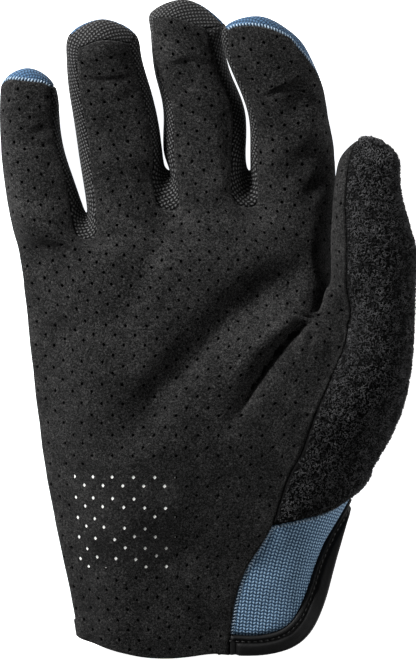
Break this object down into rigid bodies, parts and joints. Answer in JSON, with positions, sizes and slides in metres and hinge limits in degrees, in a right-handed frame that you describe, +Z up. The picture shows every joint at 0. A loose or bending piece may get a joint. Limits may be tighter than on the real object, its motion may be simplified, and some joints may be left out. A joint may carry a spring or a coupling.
{
  "type": "motocross glove, right hand",
  "caption": "Right-hand off-road riding glove in perforated suede, terry and blue knit, lying palm up in the form of a relaxed hand.",
  "frame": {"origin": "middle of the glove's footprint, on the surface it lies on", "axes": "+Y from the cuff to the fingertips, +X from the little finger to the thumb, +Z up out of the palm"},
  "size_m": [0.1486, 0.2356, 0.04],
  "materials": {
    "palm_suede": "matt black synthetic suede, perforated in a diamond grid",
    "thumb_terry": "black looped terry, matt and grainy",
    "back_knit": "slate-blue ribbed stretch knit, faint sheen",
    "side_mesh": "black open knit with rows of loops",
    "binding_tape": "black folded elastic tape, stitched",
    "label_satin": "plain white satin patch"
  },
  "bodies": {
    "root": {"palm": "palm_suede", "thumb_panel": "thumb_terry", "back": "back_knit", "fourchette_little_ring": "side_mesh", "fourchette_ring_middle": "side_mesh", "fourchette_middle_index": "side_mesh", "cuff_binding": "binding_tape", "inner_label": "label_satin"}
  },
  "joints": []
}
